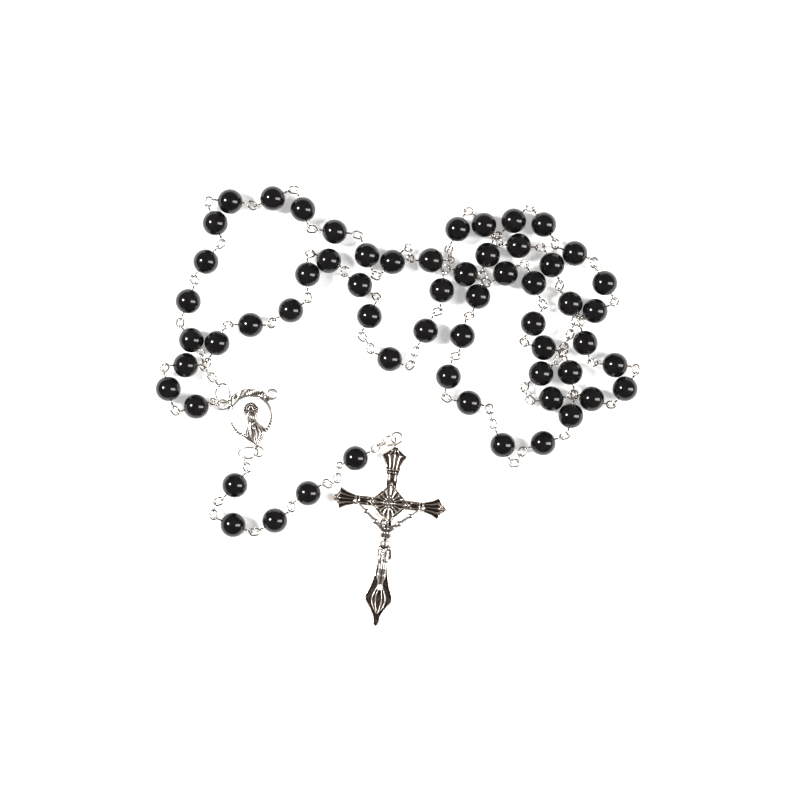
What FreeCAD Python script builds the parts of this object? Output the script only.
"""A five-decade rosary laid out on a table: black beads on eye pins, joined by small links,
with an open centre medal, jump rings and a crucifix. Millimetres, +Z up, table at Z = 0."""

import FreeCAD
import Part
import math
import os

Vector = FreeCAD.Vector

# ---------------------------------------------------------------- driving dimensions
BEAD_RADIUS = 3.5
BEAD_HOLE = 0.34          # radius of the hole through a bead
WIRE = 0.25               # radius of the wire of pins and links
EYE_RADIUS = 0.85         # centre line of an eye at each end of a pin
EYE_REACH = 4.85          # bead centre to eye centre
LINK_HALF = 1.35          # half the length of a link's centre line
LINK_SIDE = 0.95          # half its width, and the radius of its round ends
HOOK = 0.58               # between the centre lines of two hooked wires
RING_HALF = 2.7           # jump rings of the medal: half length of the centre line
RING_SIDE = 1.95          # and half width
CROSS_RING = 1.75         # round jump ring of the crucifix

LINK_SLACK = 1.40         # least and most distance between the two wires a link holds
LINK_TAUT = 2 * (LINK_HALF - HOOK)
BEAD_GAP = 2 * BEAD_RADIUS + 0.15
EYE_TO_BEAD = 4.75        # an eye's centre stays this far from other beads
LINK_TO_BEAD = 4.85       # and so does a link's centre
TIP_TO_BEAD = 4.3
STRAND_GAP = 2.35         # between eyes of two strands that cross
FOLD_AT_EYE = 6.35        # keeps a link from folding back along its pin
FOLD_AT_LINK = 3.35
LOWEST = 1.2              # lowest an eye's centre can be over the table

# Where each bead lies, decade by decade, starting at the medal.
DECADE_1 = [(-56.5, 0.3), (-62.5, 4.5), (-59, 11.5), (-50, 17.5), (-40, 22.5),
            (-29, 27.5), (-24.5, 35.5), (-18, 40), (-11.5, 33.5), (-7.5, 26)]
FATHER_1 = [(-2, 13)]
DECADE_2 = [(8, 21), (12.5, 32), (19, 37), (31, 36.5), (37.5, 33),
            (37.5, 24), (41.5, 17), (48.5, 9), (48.5, -3.5), (40.5, -10)]
FATHER_2 = [(29.5, -12)]
DECADE_3 = [(20, 2), (14.5, 9), (18.5, 19), (22, 29.5), (25, 42),
            (32.5, 51.5), (41, 50), (49.5, 42.5), (57, 34), (55, 26.5)]
FATHER_3 = [(40, 9)]
DECADE_4 = [(43, 2), (54, 2), (62.5, 4.5), (60.5, 12.5), (53, 17.5),
            (48, 28.5), (43, 38.5), (33.5, 44), (24.5, 50), (17, 49)]
FATHER_4 = [(10, 40)]
DECADE_5 = [(-1, 39.5), (-8, 42), (-17.5, 48.5), (-26, 54.5), (-35, 57.5),
            (-46, 57), (-50, 50.5), (-53.5, 40), (-57.5, 29), (-57, 18.5)]
PENDANT = [(-45, -22), (-45.5, -33), (-33.5, -31.5), (-25, -24.5), (-11.5, -14.5)]
LOOP = (DECADE_1 + FATHER_1 + DECADE_2 + FATHER_2 + DECADE_3
        + FATHER_3 + DECADE_4 + FATHER_4 + DECADE_5)
BEADS = LOOP + PENDANT
FIRST, LAST = 0, len(LOOP) - 1
PENDANT_FIRST, PENDANT_LAST = len(LOOP), len(BEADS) - 1

# Links between a bead and the next one: one, or three beside an Our Father bead,
# and a longer run after decade 3.
LINKS_AFTER = {9: 3, 10: 3, 20: 3, 21: 3, 31: 7, 32: 3, 42: 3, 43: 3,
               PENDANT_FIRST: 3, PENDANT_FIRST + 3: 4}

# Side on which the joining link lies where two beads are close together.
LINK_SIDES = {27: (36.5, 53.5), 41: (20.5, 53), 14: (36.5, 37.5), 12: (14, 36.5),
              28: (44.5, 44), 36: (55, 13), 44: (-5.5, 38.5), 49: (-51, 55.5),
              5: (-22.5, 41), 6: (-13.5, 39), 1: (-63.5, 9.5), 0: (-62, -0.5),
              PENDANT_FIRST: (-50.5, -28)}

# Way points of the longer runs of links.
RUNS = {31: [(49, 19, 2.5), (46, 15, 4), (44.5, 13, 5)],
        LAST: [(-53, 10, 3.5)],
        PENDANT_FIRST + 3: [(-19.5, -22, 3.5), (-17, -19.5, 3.5)],
        PENDANT_FIRST: [(-50.5, -28, 3.5)],
        32: [(37, 3, 3.5)]}

IN, OUT = 0, 1
# Eyes that lie flat; every other eye stands upright.
FLAT_EYES = {(FIRST, IN), (PENDANT_LAST, IN), (LAST, OUT)}

# Eye heights where two strands cross: the strand nearer the medal passes below.
UNDER, OVER = 2.1, 4.9
EYE_HEIGHTS = {(2, OUT): UNDER, (3, IN): UNDER, (LAST, OUT): OVER,
               (13, OUT): UNDER, (14, IN): UNDER, (25, OUT): OVER, (26, IN): OVER,
               (26, OUT): UNDER, (27, IN): UNDER, (40, OUT): OVER, (41, IN): OVER,
               (37, OUT): OVER, (38, IN): OVER, (31, OUT): 1.9, (32, IN): 5.4,
               (17, OUT): 1.4, (18, IN): 3.5, (18, OUT): 3.5, (19, IN): 2.0,
               (33, OUT): 5.4, (34, IN): 5.4}

# ---------------------------------------------------------------- medal, rings, crucifix places
MEDAL_AT = Vector(-40.7, -2.8, 0)
MEDAL_TURN = 12.0
LOOP_HEIGHT = 1.1
LOOP_RADIUS = 1.4         # centre line of the medal's cast loops
LOOP_WIRE = 0.26
LEFT_LOOP = Vector(-7.1, 4.7, LOOP_HEIGHT)      # from the medal's centre
RIGHT_LOOP = Vector(7.1, 4.7, LOOP_HEIGHT)
BOTTOM_LOOP = Vector(0, -10.2, LOOP_HEIGHT)
CROSS_AT = Vector(-2.1, -27.1, 0)
CROSS_TURN = -6.5
BAIL = Vector(0, 18.3, LOOP_HEIGHT)             # from the centre of the cross
BAIL_RADIUS = 1.55


def unit(v):
    return v / v.Length if v.Length > 1e-9 else Vector(1, 0, 0)


def flat(v):
    return unit(Vector(v.x, v.y, 0))


def turned_place(place, at, degrees):
    return at + FreeCAD.Rotation(Vector(0, 0, 1), degrees).multVec(place)


def ring_at(hole, heading, pitch, roll, reach, half, side):
    """An oval ring as centre, long axis, cross axis and the halves of its centre line.

    It points away from the hole at the heading, rises at the pitch and is rolled about
    its long axis, so that its wire passes over one side of the hole and under the other."""
    spin = FreeCAD.Rotation(Vector(0, 0, 1), heading).multiply(
        FreeCAD.Rotation(Vector(0, 1, 0), -pitch)).multiply(
        FreeCAD.Rotation(Vector(1, 0, 0), roll))
    along = spin.multVec(Vector(1, 0, 0))
    return (hole + along * reach, along, spin.multVec(Vector(0, 1, 0)), half, side)


def point_on(ring, degrees):
    centre, along, across, half, side = ring
    turn = math.radians(degrees)
    return centre + along * (half * math.cos(turn)) + across * (side * math.sin(turn))


LEFT_HOLE = turned_place(LEFT_LOOP, MEDAL_AT, MEDAL_TURN)
BOTTOM_HOLE = turned_place(BOTTOM_LOOP, MEDAL_AT, MEDAL_TURN)
BAIL_HOLE = turned_place(BAIL, CROSS_AT, CROSS_TURN)
# The ring that ends the loop lies on top of the left loop and isn't closed round it.
END_RING = ring_at(LEFT_HOLE + Vector(0.5, 0.2, 0.78), 94, 13, 8, 3.1, RING_HALF, RING_SIDE)
PENDANT_RING = ring_at(BOTTOM_HOLE, 186, 11, 40, 2.85, RING_HALF, RING_SIDE)
BAIL_RING = ring_at(BAIL_HOLE, 201, 10, 42, 2.2, CROSS_RING, CROSS_RING)
RINGS = {
    "left loop": (LEFT_HOLE, Vector(1, 0, 0), Vector(0, 1, 0), LOOP_RADIUS, LOOP_RADIUS),
    "bottom loop": (BOTTOM_HOLE, Vector(1, 0, 0), Vector(0, 1, 0), LOOP_RADIUS, LOOP_RADIUS),
    "bail": (BAIL_HOLE, Vector(1, 0, 0), Vector(0, 1, 0), BAIL_RADIUS, BAIL_RADIUS),
    "end ring": END_RING,
    "pendant ring": PENDANT_RING,
    "bail ring": BAIL_RING,
}
START_WIRE = point_on(RINGS["left loop"], 180)
END_WIRE = point_on(END_RING, 30)
PENDANT_WIRE = point_on(PENDANT_RING, 55)
CROSS_WIRE = point_on(BAIL_RING, 0)


class Span:
    """The links between two beads, or between a bead and a wire of a jump ring or loop."""

    def __init__(self, start, end, count, points):
        self.start = start
        self.end = end
        first_stands = isinstance(start, Vector) or start in FLAT_EYES
        self.stands = [(i % 2 == 0) == first_stands for i in range(count)]
        self.tips = [None] * count
        self.place_tips(points)

    def place_tips(self, points):
        """An upright link is held as its two tips, spread along the way points at first."""
        lengths = [(b - a).Length for a, b in zip(points, points[1:])]
        count = len(self.stands)

        def along(share):
            left = share * sum(lengths)
            for a, b, length in zip(points, points[1:], lengths):
                if left <= length:
                    return a + (b - a) * (left / length)
                left -= length
            return Vector(points[-1])

        for i, stands in enumerate(self.stands):
            if stands:
                self.tips[i] = (along((i + 0.1) / count), along((i + 0.9) / count))


class Layout:
    """Places every pin and link by moving them until each link holds its two neighbours."""

    def __init__(self):
        self.eyes = {}
        for bead in range(len(BEADS)):
            self.lay_pin(bead)
        self.spans = [self.span(START_WIRE, (FIRST, IN), 1)]
        for bead in range(LAST):
            self.spans.append(self.span((bead, OUT), (bead + 1, IN), LINKS_AFTER.get(bead, 1)))
        self.spans.append(self.span((LAST, OUT), END_WIRE, 5))
        self.spans.append(self.span(PENDANT_WIRE, (PENDANT_FIRST, IN), 2))
        for bead in range(PENDANT_FIRST, PENDANT_LAST):
            self.spans.append(self.span((bead, OUT), (bead + 1, IN), LINKS_AFTER.get(bead, 1)))
        self.spans.append(self.span((PENDANT_LAST, OUT), CROSS_WIRE, 2))
        self.strands = self.strand_points()

    def lay_pin(self, bead):
        """A pin starts level, aimed from the link before its bead to the link after it."""
        before = {FIRST: START_WIRE, PENDANT_FIRST: PENDANT_WIRE}.get(bead)
        after = {LAST: END_WIRE, PENDANT_LAST: CROSS_WIRE}.get(bead)
        centre = Vector(*BEADS[bead], BEAD_RADIUS)
        if before is None:
            middle = (centre + Vector(*BEADS[bead - 1], BEAD_RADIUS)) / 2
            before = Vector(*LINK_SIDES.get(bead - 1, (middle.x, middle.y)), 0)
        if after is None:
            middle = (centre + Vector(*BEADS[bead + 1], BEAD_RADIUS)) / 2
            after = Vector(*LINK_SIDES.get(bead, (middle.x, middle.y)), 0)
        aim = flat(after - before)
        self.eyes[bead, IN] = centre - aim * EYE_REACH
        self.eyes[bead, OUT] = centre + aim * EYE_REACH

    def place_of(self, end):
        """A span's end is a fixed place or an eye."""
        return Vector(end) if isinstance(end, Vector) else Vector(self.eyes[end])

    def span(self, start, end, count):
        way = [Vector(*p) for p in RUNS.get(start[0], [])] if isinstance(start, tuple) else []
        return Span(start, end, count, [self.place_of(start)] + way + [self.place_of(end)])

    def centre(self, bead):
        return (self.eyes[bead, IN] + self.eyes[bead, OUT]) / 2

    def held_wire(self, eye, target):
        """Centre of the eye's wire where a link that runs to the target holds it."""
        centre = self.eyes[eye]
        way = target - centre
        if eye in FLAT_EYES:
            return centre + flat(way) * EYE_RADIUS - unit(way) * HOOK
        out = flat(centre - self.eyes[eye[0], 1 - eye[1]])
        ahead = max(way.dot(out), 0.12 * way.Length)
        return centre + unit(out * ahead + Vector(0, 0, way.z)) * EYE_RADIUS

    def strand_points(self):
        """Every eye and link tip, with the beads and spans it belongs to."""
        points = []
        for (bead, side), eye in self.eyes.items():
            spans = {("span", n) for n, span in enumerate(self.spans)
                     for end in (span.start, span.end)
                     if isinstance(end, tuple) and end == (bead, side)}
            points.append((eye, bead, {("bead", bead)} | spans))
        for n, span in enumerate(self.spans):
            for tips in span.tips:
                for tip in tips or ():
                    points.append((tip, None, {("span", n)}))
        return points

    # ---- one rule each; every rule moves its points a little
    def hold_upright_link(self, span, i):
        near, far = span.tips[i]
        way = far - near
        shift(near, way, (way.Length - 2 * LINK_HALF) / way.Length / 2)
        shift(far, way, -(way.Length - 2 * LINK_HALF) / way.Length / 2)
        for end, tip, other, at_end in ((span.start, near, far, i == 0),
                                        (span.end, far, near, i == len(span.tips) - 1)):
            if at_end and isinstance(end, Vector):
                put(tip, end - unit(other - tip) * HOOK)
            elif at_end:
                miss = self.held_wire(end, other) - tip
                shift(tip, miss, 0.5)
                shift(self.eyes[end], miss, -0.5)

    def flat_link_ends(self, span, i):
        """The points that own a flat link's two ends, and the wires that it holds there."""
        last = len(span.tips) - 1
        a = self.eyes[span.start] if i == 0 else span.tips[i - 1][1]
        b = self.eyes[span.end] if i == last else span.tips[i + 1][0]
        wire_a = self.held_wire(span.start, b) if i == 0 else Vector(a)
        wire_b = self.held_wire(span.end, a) if i == last else Vector(b)
        return a, b, wire_a, wire_b

    def hold_flat_link(self, span, i):
        a, b, wire_a, wire_b = self.flat_link_ends(span, i)
        way = wire_b - wire_a
        length = way.Length or 1e-6
        if len(span.tips) == 1 and way.dot(b - a) < 0:
            shift(a, way, (length + LINK_SLACK) / length / -2)
            shift(b, way, (length + LINK_SLACK) / length / 2)
        else:
            wish = min(max(length, LINK_SLACK), LINK_TAUT - 0.03)
            shift(a, way, (length - wish) / length / 2)
            shift(b, way, -(length - wish) / length / 2)
        self.keep_off_beads((wire_a + wire_b) / 2, (a, b))
        self.unfold(span, i, a, b, wire_a, wire_b)

    def keep_off_beads(self, middle, ends):
        for bead in range(len(BEADS)):
            centre = self.centre(bead)
            way = middle - centre
            if abs(way.x) > LINK_TO_BEAD or abs(way.y) > LINK_TO_BEAD:
                continue
            if way.Length < LINK_TO_BEAD:
                push = (LINK_TO_BEAD - way.Length) / max(math.hypot(way.x, way.y), 1e-6) * 0.4
                level = Vector(way.x, way.y, 0)
                for end in ends:
                    shift(end, level, push)
                for side in (IN, OUT):
                    shift(self.eyes[bead, side], level, -push / 2)

    def unfold(self, span, i, a, b, wire_a, wire_b):
        last = len(span.tips) - 1
        for end, own, other, wire, at_end, step in ((span.start, a, b, wire_b, i == 0, -1),
                                                    (span.end, b, a, wire_a, i == last, 1)):
            if at_end:
                far = self.centre(end[0])
                movers = [self.eyes[end], self.eyes[end[0], 1 - end[1]]]
                need = FOLD_AT_EYE
            else:
                far = span.tips[i + step][0 if step < 0 else 1]
                movers = [far]
                need = FOLD_AT_LINK
            way = wire - far
            if way.Length < need:
                push = (need - way.Length) / max(way.Length, 1e-6) / 2
                shift(other, way, push)
                for mover in movers:
                    shift(mover, way, -push / 2)

    def hold_pin(self, bead, pull):
        a, b = self.eyes[bead, IN], self.eyes[bead, OUT]
        way = b - a
        stretch = (way.Length - 2 * EYE_REACH) / way.Length / 2
        shift(a, way, stretch)
        shift(b, way, -stretch)
        home = Vector(*BEADS[bead], BEAD_RADIUS) - self.centre(bead)
        strength = pull if math.hypot(home.x, home.y) < 1.2 else 0.5
        for eye in (a, b):
            shift(eye, Vector(home.x * strength, home.y * strength, home.z), 1)
        for side, eye, other in ((IN, a, b), (OUT, b, a)):
            if (bead, side) in EYE_HEIGHTS:
                rise = (EYE_HEIGHTS[bead, side] - eye.z) * 0.3
                eye.z += rise
                other.z -= rise
            elif (bead, 1 - side) not in EYE_HEIGHTS:
                eye.z += (BEAD_RADIUS - eye.z) * 0.02
            if eye.z < LOWEST:
                other.z -= LOWEST - eye.z
                eye.z = LOWEST

    def keep_beads_apart(self):
        for i in range(len(BEADS)):
            for j in range(i + 1, len(BEADS)):
                way = self.centre(j) - self.centre(i)
                if abs(way.x) < BEAD_GAP and abs(way.y) < BEAD_GAP and way.Length < BEAD_GAP:
                    push = (BEAD_GAP - way.Length) / way.Length / 2
                    for side in (IN, OUT):
                        shift(self.eyes[i, side], way, -push)
                        shift(self.eyes[j, side], way, push)

    def keep_strands_off_beads(self):
        for point, own, _ in self.strands:
            need = TIP_TO_BEAD if own is None else EYE_TO_BEAD
            for bead in range(len(BEADS)):
                if bead == own:
                    continue
                way = point - self.centre(bead)
                if abs(way.x) > need or abs(way.y) > need or way.Length >= need:
                    continue
                level = Vector(way.x, way.y, 0)
                push = (need - way.Length) / max(level.Length, 1e-6)
                shift(point, level, push * 0.5)
                for side in (IN, OUT):
                    shift(self.eyes[bead, side], level, -push * 0.2)

    def keep_strands_apart(self):
        for n, (a, _, groups_a) in enumerate(self.strands):
            for b, _, groups_b in self.strands[n + 1:]:
                x, y, z = b.x - a.x, b.y - a.y, b.z - a.z
                if abs(x) > STRAND_GAP or abs(y) > STRAND_GAP or abs(z) > STRAND_GAP:
                    continue
                length = math.sqrt(x * x + y * y + z * z)
                if length < STRAND_GAP and not groups_a & groups_b:
                    push = (STRAND_GAP - length) / max(length, 1e-6) / 2
                    shift(a, Vector(x, y, z / 2), -push)
                    shift(b, Vector(x, y, z / 2), push)

    def settle(self, rounds):
        for step in range(rounds):
            share = step / rounds
            pull = 0.12 if share < 0.35 else 0.036 if share < 0.7 else 0.006
            for span in self.spans:
                for i, stands in enumerate(span.stands):
                    if stands:
                        self.hold_upright_link(span, i)
                    else:
                        self.hold_flat_link(span, i)
            for bead in range(len(BEADS)):
                self.hold_pin(bead, pull)
            if share < 0.3:
                for bead, side in LINK_SIDES.items():
                    for eye in (self.eyes[bead, OUT], self.eyes[bead + 1, IN]):
                        shift(eye, Vector(side[0] - eye.x, side[1] - eye.y, 0), 0.05)
            if step % 3 == 0:
                self.keep_beads_apart()
                self.keep_strands_off_beads()
                self.keep_strands_apart()
            for span in self.spans:
                for tips in span.tips:
                    for tip in tips or ():
                        tip.z = max(tip.z, LOWEST)


def shift(point, way, share):
    point.x += way.x * share
    point.y += way.y * share
    point.z += way.z * share


def put(point, place):
    point.x, point.y, point.z = place.x, place.y, place.z


# ---------------------------------------------------------------- centre lines of the wires
def round_line(centre, u, v, radius_u, radius_v, count=24):
    turns = [2 * math.pi * i / count for i in range(count)]
    return [centre + u * (radius_u * math.cos(t)) + v * (radius_v * math.sin(t)) for t in turns]


def link_line(centre, axis, side, steps=8):
    """Points round a link: two half circles, with the middles of the straight sides."""
    straight = LINK_HALF - LINK_SIDE
    points = []
    for end in (1, -1):
        for i in range(steps + 1):
            turn = math.pi * (i / steps - 0.5)
            along = end * (straight + LINK_SIDE * math.cos(turn))
            points.append(centre + axis * along + side * (end * LINK_SIDE * math.sin(turn)))
        points.append(centre + side * (end * LINK_SIDE))
    return points


class Wires:
    """The settled pins and links as frames, with each link nudged clear of what it holds."""

    def __init__(self, layout):
        self.centres = [layout.centre(bead) for bead in range(len(BEADS))]
        self.pins = {}
        self.lines = {}
        for bead in range(len(BEADS)):
            axis = unit(layout.eyes[bead, OUT] - layout.eyes[bead, IN])
            level = unit(Vector(0, 0, 1).cross(axis))
            up = axis.cross(level)
            self.pins[bead] = (axis, level, up)
            for side, sign in ((IN, -1), (OUT, 1)):
                eye = self.centres[bead] + axis * (sign * EYE_REACH)
                across = level if (bead, side) in FLAT_EYES else up
                line = round_line(eye, axis, across, EYE_RADIUS, EYE_RADIUS)
                stem = self.centres[bead] + axis * (sign * (EYE_REACH + BEAD_RADIUS) / 2)
                self.lines["eye", bead, side] = line + [stem]
        self.add_fixed_wires()
        self.links = {}
        for n, span in enumerate(layout.spans):
            for i, stands in enumerate(span.stands):
                a, b = span.tips[i] if stands else layout.flat_link_ends(span, i)[2:]
                axis = unit(b - a)
                level = unit(Vector(0, 0, 1).cross(axis))
                self.links[n, i] = ((a + b) / 2, axis, axis.cross(level) if stands else level)
        for _ in range(3):
            for key in self.links:
                self.free_link(key)

    def add_fixed_wires(self):
        """Wires of the medal, its jump rings and the crucifix that links come close to."""
        for name, (centre, u, v, half, side) in RINGS.items():
            self.lines[name] = round_line(centre, u, v, half, side, 48)

    def neighbours(self, key, centre):
        near = [line for line in self.lines.values()
                if any((p - centre).Length < 2.6 for p in line)]
        for other, (middle, axis, side) in self.links.items():
            if other != key and (middle - centre).Length < 4:
                near.append(link_line(middle, axis, side))
        return [(p.x, p.y, p.z) for line in near for p in line]

    def room(self, link, around):
        """Least distance left between the link's wire and everything round it."""
        line = link_line(*link)
        room = min(p.z for p in line) - WIRE - 0.01
        for bead in self.centres:
            if (bead - link[0]).Length < 2 * BEAD_RADIUS:
                room = min(room, min((p - bead).Length for p in line) - BEAD_RADIUS - WIRE - 0.03)
        for p in line:
            x, y, z = p.x, p.y, p.z
            for ox, oy, oz in around:
                dx, dy, dz = x - ox, y - oy, z - oz
                square = dx * dx + dy * dy + dz * dz
                if square < 1 and math.sqrt(square) - 2 * WIRE - 0.04 < room:
                    room = math.sqrt(square) - 2 * WIRE - 0.04
        return room

    def free_link(self, key):
        """Shift and turn one link in shrinking steps until it is clear of its neighbours."""
        link = self.links[key]
        around = self.neighbours(key, link[0])
        room = self.room(link, around)
        step = 0.2
        while room < 0 and step > 0.01:
            better = False
            for way in (Vector(1, 0, 0), Vector(0, 1, 0), Vector(0, 0, 1),
                        link[1], link[2], link[1].cross(link[2])):
                for amount in (step, -step):
                    for trial in (moved(link, way, amount), turned(link, way, amount)):
                        trial_room = self.room(trial, around)
                        if trial_room > room + 1e-6:
                            link, room, better = trial, trial_room, True
            if not better:
                step /= 2
        self.links[key] = link


def moved(link, way, amount):
    return (link[0] + way * amount, link[1], link[2])


def turned(link, way, amount):
    spin = FreeCAD.Rotation(way, math.degrees(amount * 0.8))
    return (link[0], spin.multVec(link[1]), spin.multVec(link[2]))


# ---------------------------------------------------------------- solids
MEDAL_RING = 5.75         # centre line of the medal's open ring
MEDAL_BAND = 0.8          # width of that ring in plan
MEDAL_THICK = 1.4
BANNER_INNER, BANNER_OUTER = 5.5, 7.8
BANNER_HALF_ANGLE = 47
HALO_RADIUS = 2.1
BORE_RADIUS = 1.05        # hole of the medal's free right loop
BORE_LENGTH = 1.2
BORE_WALL = 0.65

CROSS_THICK = 1.8
SUNBURST = 6.0            # half diagonal of the sunburst behind the figure
SUNBURST_TOP = 2.4
# Each arm's outline: distance from the middle of the cross, and half width there.
UPPER_ARM = [(0, 1.95), (8.2, 1.95), (10.7, 2.45), (12.4, 3.2), (13.3, 3.85), (15, 1.5), (16, 0.9)]
SIDE_ARM = [(0, 1.5), (9.6, 1.6), (12, 2.3), (13.8, 3.3), (14.3, 1.9), (15.2, 1.25), (15.9, 0.5)]
LOWER_ARM = [(0, 1.55), (15.5, 1.6), (20, 2.1), (24, 3.2), (26, 4.05), (27.2, 4.1), (29.4, 2.6),
             (31.8, 1.45), (33.6, 1.2), (34.4, 0.5)]


def frame_matrix(centre, x_axis, y_axis):
    z_axis = x_axis.cross(y_axis)
    return FreeCAD.Matrix(x_axis.x, y_axis.x, z_axis.x, centre.x,
                          x_axis.y, y_axis.y, z_axis.y, centre.y,
                          x_axis.z, y_axis.z, z_axis.z, centre.z, 0, 0, 0, 1)


def placed(shape, centre, x_axis, y_axis):
    copy = shape.copy()
    copy.Placement = FreeCAD.Placement(frame_matrix(centre, x_axis, y_axis))
    return copy


def cylinder(radius, start, end):
    return Part.makeCylinder(radius, (end - start).Length, start, end - start)


def ball(radius, centre):
    return Part.makeSphere(radius, centre)


def torus(radius, wire, centre, axis):
    return Part.makeTorus(radius, wire, centre, axis)


def fused(shapes):
    whole = shapes[0].multiFuse(shapes[1:]).removeSplitter()
    return whole.Solids[0]


def slab(points, bottom, top):
    face = Part.Face(Part.makePolygon([Vector(x, y, bottom) for x, y in points + points[:1]]))
    return face.extrude(Vector(0, 0, top - bottom))


def bead_solid():
    """A round bead turned about X, with the hole for its pin."""
    end = math.sqrt(BEAD_RADIUS ** 2 - BEAD_HOLE ** 2)
    left, right = Vector(-end, BEAD_HOLE, 0), Vector(end, BEAD_HOLE, 0)
    outline = Part.Wire([Part.Arc(left, Vector(0, BEAD_RADIUS, 0), right).toShape(),
                         Part.LineSegment(right, left).toShape()])
    return Part.Face(outline).revolve(Vector(0, 0, 0), Vector(1, 0, 0), 360)


def pin_solid(flat_in, flat_out):
    """A straight pin along X with a round eye bent at each end."""
    reach = EYE_REACH - EYE_RADIUS
    pieces = [cylinder(WIRE, Vector(-reach, 0, 0), Vector(reach, 0, 0))]
    for sign, lies_flat in ((-1, flat_in), (1, flat_out)):
        axis = Vector(0, 0, 1) if lies_flat else Vector(0, 1, 0)
        pieces.append(torus(EYE_RADIUS, WIRE, Vector(sign * EYE_REACH, 0, 0), axis))
    return fused(pieces)


def swept_wire(edges, start, way):
    path = Part.Wire(edges)
    circle = Part.Wire([Part.makeCircle(WIRE, start, way)])
    return path.makePipeShell([circle], True, True).Solids[0]


def link_solid():
    straight = LINK_HALF - LINK_SIDE
    corners = [Vector(x * straight, y * LINK_SIDE, 0)
               for x, y in ((-1, -1), (1, -1), (1, 1), (-1, 1))]
    edges = [Part.LineSegment(corners[0], corners[1]).toShape(),
             Part.Arc(corners[1], Vector(LINK_HALF, 0, 0), corners[2]).toShape(),
             Part.LineSegment(corners[2], corners[3]).toShape(),
             Part.Arc(corners[3], Vector(-LINK_HALF, 0, 0), corners[0]).toShape()]
    return swept_wire(edges, corners[0], Vector(1, 0, 0))


def ring_solid(half, side):
    """A closed jump ring round the origin, its long axis along X."""
    if half == side:
        return torus(half, WIRE, Vector(0, 0, 0), Vector(0, 0, 1))
    ellipse = Part.Ellipse(Vector(0, 0, 0), half, side)
    return swept_wire([ellipse.toShape()], Vector(half, 0, 0), Vector(0, 1, 0))


def annular_slab(inner, outer, bottom, top, half_angle=180):
    """Part of a flat ring round the origin, centred on +Y."""
    start = 90 - half_angle
    rings = []
    for radius in (outer, inner):
        disc = Part.makeCylinder(radius, top - bottom, Vector(0, 0, bottom),
                                 Vector(0, 0, 1), 2 * half_angle)
        disc.rotate(Vector(0, 0, 0), Vector(0, 0, 1), start)
        rings.append(disc)
    return rings[0].cut(rings[1]).Solids[0]


def medal_banner():
    """The scrolled banner over the top of the ring, with a raised rib and end curls."""
    middle = (BANNER_INNER + BANNER_OUTER) / 2
    pieces = [annular_slab(BANNER_INNER, BANNER_OUTER, 0.2, MEDAL_THICK, BANNER_HALF_ANGLE)]
    for angle in range(-40, 41, 16):
        turn = math.radians(90 + angle)
        spot = Vector(middle * math.cos(turn), middle * math.sin(turn), MEDAL_THICK - 0.25)
        pieces.append(ball(0.75, spot))
    return pieces


def medal_figure():
    """A veiled figure in front of a round halo, tapering to the bottom loop."""
    pieces = [Part.makeCylinder(HALO_RADIUS, 0.7, Vector(0.3, 1.6, 0.4)),
              ball(1.2, Vector(0.2, 0.1, 1.3)),
              Part.makeCone(1.15, 1.9, 3.4, Vector(0.2, -0.9, 1.0), Vector(-0.02, -1, -0.08)),
              slab([(-2.4, -2.2), (2.6, -2.2), (3.4, -5.2), (0.7, -8.9), (-0.7, -8.9), (-3.4, -5.2)],
                   0.3, 1.5),
              Part.makeCone(1.4, 0.5, 5.4, Vector(0, -3.6, 1.0), Vector(0, -1, -0.02))]
    floor = Part.makeBox(16, 24, 3, Vector(-8, -14, -3))
    return [piece.cut(floor) for piece in pieces]


def medal_necks():
    """Short bridges from the ring to its three loops."""
    necks = []
    for loop in (LEFT_LOOP, RIGHT_LOOP):
        out = Vector(loop.x, loop.y, 0)
        start = unit(out) * (MEDAL_RING - 0.2) + Vector(0, 0, 0.85)
        end = unit(out) * (out.Length - LOOP_RADIUS) + Vector(0, 0, LOOP_HEIGHT - 0.1)
        necks.append(cylinder(0.5, start, end))
    return necks


def centre_medal():
    band = annular_slab(MEDAL_RING - MEDAL_BAND / 2, MEDAL_RING + MEDAL_BAND / 2, 0.3, MEDAL_THICK)
    sleeve = Part.makeCylinder(BORE_RADIUS + BORE_WALL, BORE_LENGTH,
                               RIGHT_LOOP - Vector(0, 0, BORE_LENGTH / 2))
    bore = Part.makeCylinder(BORE_RADIUS, 4, RIGHT_LOOP - Vector(0, 0, 2))
    loops = [torus(LOOP_RADIUS, LOOP_WIRE, loop, Vector(0, 0, 1)) for loop in (LEFT_LOOP, BOTTOM_LOOP)]
    solid = fused([band, sleeve] + medal_banner() + medal_figure() + medal_necks() + loops).cut(bore)
    return [turned_solid(solid.Solids[0], MEDAL_AT, MEDAL_TURN)]


def turned_solid(solid, at, degrees):
    copy = solid.copy()
    copy.Placement = FreeCAD.Placement(at, FreeCAD.Rotation(Vector(0, 0, 1), degrees))
    return copy


def cross_arm(degrees, stations):
    """One arm of the cross from its half widths, with a raised field and a knob below its flare."""
    points = [(-width, along) for along, width in stations]
    points += [(width, along) for along, width in reversed(stations)]
    raised = [(x * 0.62, min(y, stations[-1][0] - 0.8)) for x, y in points]
    knob_at = stations[-1][0] - 7
    knob_reach = stations[0][1] + 0.35
    arm = slab(points, 0, CROSS_THICK).fuse(slab(raised, CROSS_THICK - 0.1, CROSS_THICK + 0.35))
    arm = arm.fuse(cylinder(0.5, Vector(-knob_reach, knob_at, CROSS_THICK - 0.3),
                            Vector(knob_reach, knob_at, CROSS_THICK - 0.3)))
    arm.rotate(Vector(0, 0, 0), Vector(0, 0, 1), degrees)
    return arm


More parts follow.
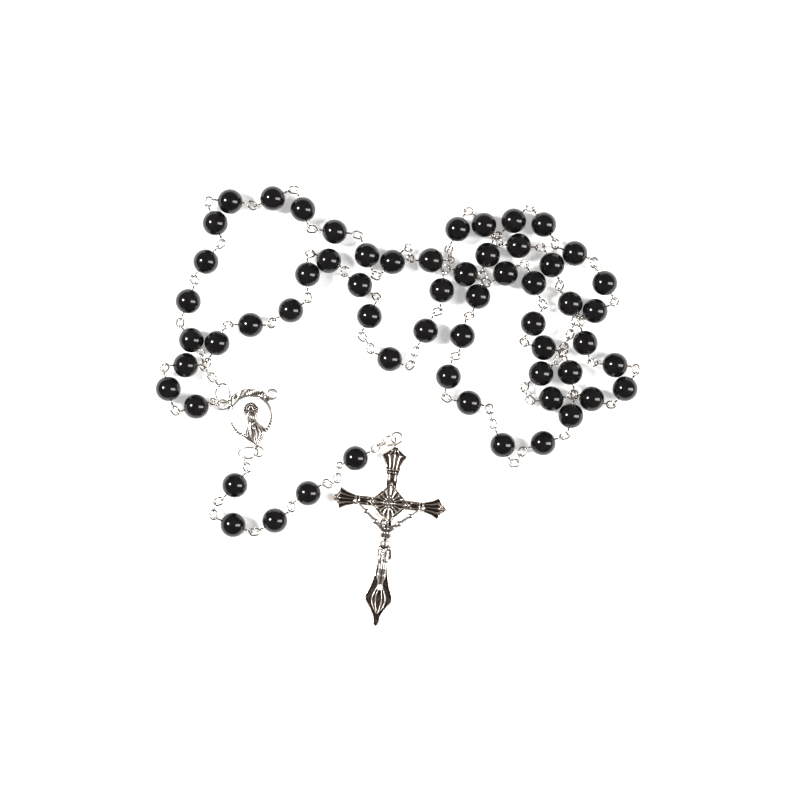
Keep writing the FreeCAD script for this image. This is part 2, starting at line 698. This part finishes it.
def crucifix_cross():
    square = [(0, SUNBURST), (-SUNBURST, 0), (0, -SUNBURST), (SUNBURST, 0)]
    inner = [(x * 0.72, y * 0.72) for x, y in square]
    centre = [(x * 0.22, y * 0.22) for x, y in square]
    pieces = [cross_arm(0, UPPER_ARM), cross_arm(90, SIDE_ARM),
              cross_arm(-90, SIDE_ARM), cross_arm(180, LOWER_ARM),
              slab(square, 0, CROSS_THICK + 0.3), slab(inner, CROSS_THICK, SUNBURST_TOP),
              slab(centre, CROSS_THICK, SUNBURST_TOP + 0.5),
              cylinder(0.7, Vector(0, 15.2, LOOP_HEIGHT), BAIL - Vector(0, BAIL_RADIUS, 0)),
              torus(BAIL_RADIUS, LOOP_WIRE, BAIL, Vector(0, 0, 1))]
    return [turned_solid(fused(pieces), CROSS_AT, CROSS_TURN)]


JOINT_SIZE = 1.08         # a figure's joints against the limbs that meet there


def limb(start, end, radius_start, radius_end):
    """A tapered limb with round joints, in line with it, that stand a little proud of it."""
    way = end - start
    cone = Part.makeCone(radius_start, radius_end, way.Length, start, way)
    return [cone, Part.makeSphere(radius_start * JOINT_SIZE, start, way),
            Part.makeSphere(radius_end * JOINT_SIZE, end, way)]


def corpus():
    """The figure on the cross: arms up to the side arms, head bowed, legs together."""
    back = SUNBURST_TOP + 0.55
    shoulder_y, hip_y, knee_y, foot_y = -6.7, -12.9, -18.2, -23.4
    pieces = [ball(1.2, Vector(-0.9, -5.3, back + 1.25))]
    pieces += limb(Vector(0, -8.0, back + 0.9), Vector(0, hip_y, back + 0.7), 1.65, 1.3)
    for side in (-1, 1):
        shoulder = Vector(side * 1.8, shoulder_y, back + 0.75)
        elbow = Vector(side * 5.5, -3.4, back + 0.42)
        hand = Vector(side * 9.1, -0.4, back + 0.02)
        hip = Vector(side * 0.78, hip_y - 0.7, back + 0.72)
        knee = Vector(side * 0.62, knee_y, back + 0.93)
        foot = Vector(side * 0.3, foot_y, back + 0.21)
        pieces += limb(Vector(side * 0.3, shoulder_y - 0.6, back + 0.8), shoulder, 1.05, 0.7)
        pieces += limb(shoulder, elbow, 0.62, 0.5)
        pieces += limb(elbow, hand, 0.47, 0.38)
        pieces += limb(hip, knee, 0.93, 0.66)
        pieces += limb(knee, foot, 0.6, 0.43)
    pieces.append(Part.makeCone(1.62, 1.93, 2.7, Vector(0, -11.6, back + 0.65), Vector(0, -1, 0)))
    figure = fused(pieces)
    seat = fused([Part.makeBox(30, 40, 4, Vector(-15, -30, CROSS_THICK + 0.36 - 4)),
                  slab([(0, SUNBURST), (-SUNBURST, 0), (0, -SUNBURST), (SUNBURST, 0)], 0,
                       SUNBURST_TOP + 0.52)])
    return [turned_solid(figure.cut(seat).Solids[0], CROSS_AT, CROSS_TURN)]


# ---------------------------------------------------------------- nodes
SETTLE_ROUNDS = 1200
# Beads of the loop that hang together as one swinging run, with the name of each run.
SEGMENTS = [("decade_1_first", 0, 2), ("decade_1_middle", 3, 6), ("decade_1_last", 7, 9),
            ("our_father_1", 10, 10),
            ("decade_2_first", 11, 13), ("decade_2_middle", 14, 17), ("decade_2_last", 18, 20),
            ("our_father_2", 21, 21),
            ("decade_3_first", 22, 25), ("decade_3_middle", 26, 28), ("decade_3_last", 29, 31),
            ("our_father_3", 32, 32),
            ("decade_4_first", 33, 35), ("decade_4_middle", 36, 39), ("decade_4_last", 40, 42),
            ("our_father_4", 43, 43),
            ("decade_5_first", 44, 46), ("decade_5_middle", 47, 50), ("decade_5_last", 51, 53),
            ("pendant_1", 54, 54), ("pendant_2", 55, 55), ("pendant_3", 56, 56),
            ("pendant_4", 57, 57), ("pendant_5", 58, 58)]
LINKS_BEFORE = {32, 58}   # the links before these beads hang on their side of the joint


def span_owner(n):
    """The bead that the links of a span swing with; None for the run under the medal."""
    if n == 0:
        return FIRST
    if n <= LAST + 1:
        return n if n in LINKS_BEFORE else n - 1
    bead = n - 2
    if bead < PENDANT_FIRST:
        return None
    if bead == PENDANT_LAST:
        return "crucifix ring"
    return bead + 1 if bead + 1 in LINKS_BEFORE else bead


def chain_nodes(layout, wires):
    """Bead and wire solids of each swinging run, and the links of the two ring runs."""
    bead = bead_solid()
    link = link_solid()
    pins = {flats: pin_solid(*flats) for flats in
            ((False, False), (True, False), (False, True))}
    links = {}
    for (n, _), (centre, axis, side) in wires.links.items():
        links.setdefault(span_owner(n), []).append(placed(link, centre, axis, side))
    nodes = {}
    for name, first, last in SEGMENTS:
        beads, metal = [], []
        for number in range(first, last + 1):
            centre = wires.centres[number]
            axis, level, _ = wires.pins[number]
            flats = ((number, IN) in FLAT_EYES, (number, OUT) in FLAT_EYES)
            beads.append(placed(bead, centre, axis, level))
            metal.append(placed(pins[flats], centre, axis, level))
            metal += links.get(number, [])
        nodes[name + ("_bead" if first == last else "_beads")] = beads
        nodes[name + "_wires"] = metal
    nodes["pendant_top_links"] = links[None]
    nodes["crucifix_links"] = links["crucifix ring"]
    return nodes


def ring_nodes():
    nodes = {}
    for name, ring in (("loop_end_ring", END_RING), ("pendant_ring", PENDANT_RING),
                       ("crucifix_ring", BAIL_RING)):
        centre, along, across, half, side = ring
        nodes[name] = [placed(ring_solid(half, side), centre, along, across)]
    return nodes


def all_nodes():
    layout = Layout()
    layout.settle(SETTLE_ROUNDS)
    wires = Wires(layout)
    nodes = {"centre_medal": centre_medal(), "crucifix_cross": crucifix_cross(),
             "crucifix_corpus": corpus()}
    nodes.update(ring_nodes())
    nodes.update(chain_nodes(layout, wires))
    return nodes


def table_shift(nodes):
    """Brings the middle of the whole outline over the origin and its lowest point to Z = 0."""
    whole = FreeCAD.BoundBox()
    for solids in nodes.values():
        for solid in solids:
            whole.add(solid.optimalBoundingBox(False, False))
    middle = whole.Center
    return Vector(-middle.x, -middle.y, -whole.ZMin)


def write_parts(nodes):
    os.makedirs("parts", exist_ok=True)
    move = table_shift(nodes)
    for name, solids in nodes.items():
        moved = [solid.translated(move) for solid in solids]
        shape = moved[0] if len(moved) == 1 else Part.makeCompound(moved)
        shape.exportStep(os.path.join("parts", name + ".step"))
    print("moved by", move, "nodes", len(nodes))


write_parts(all_nodes())
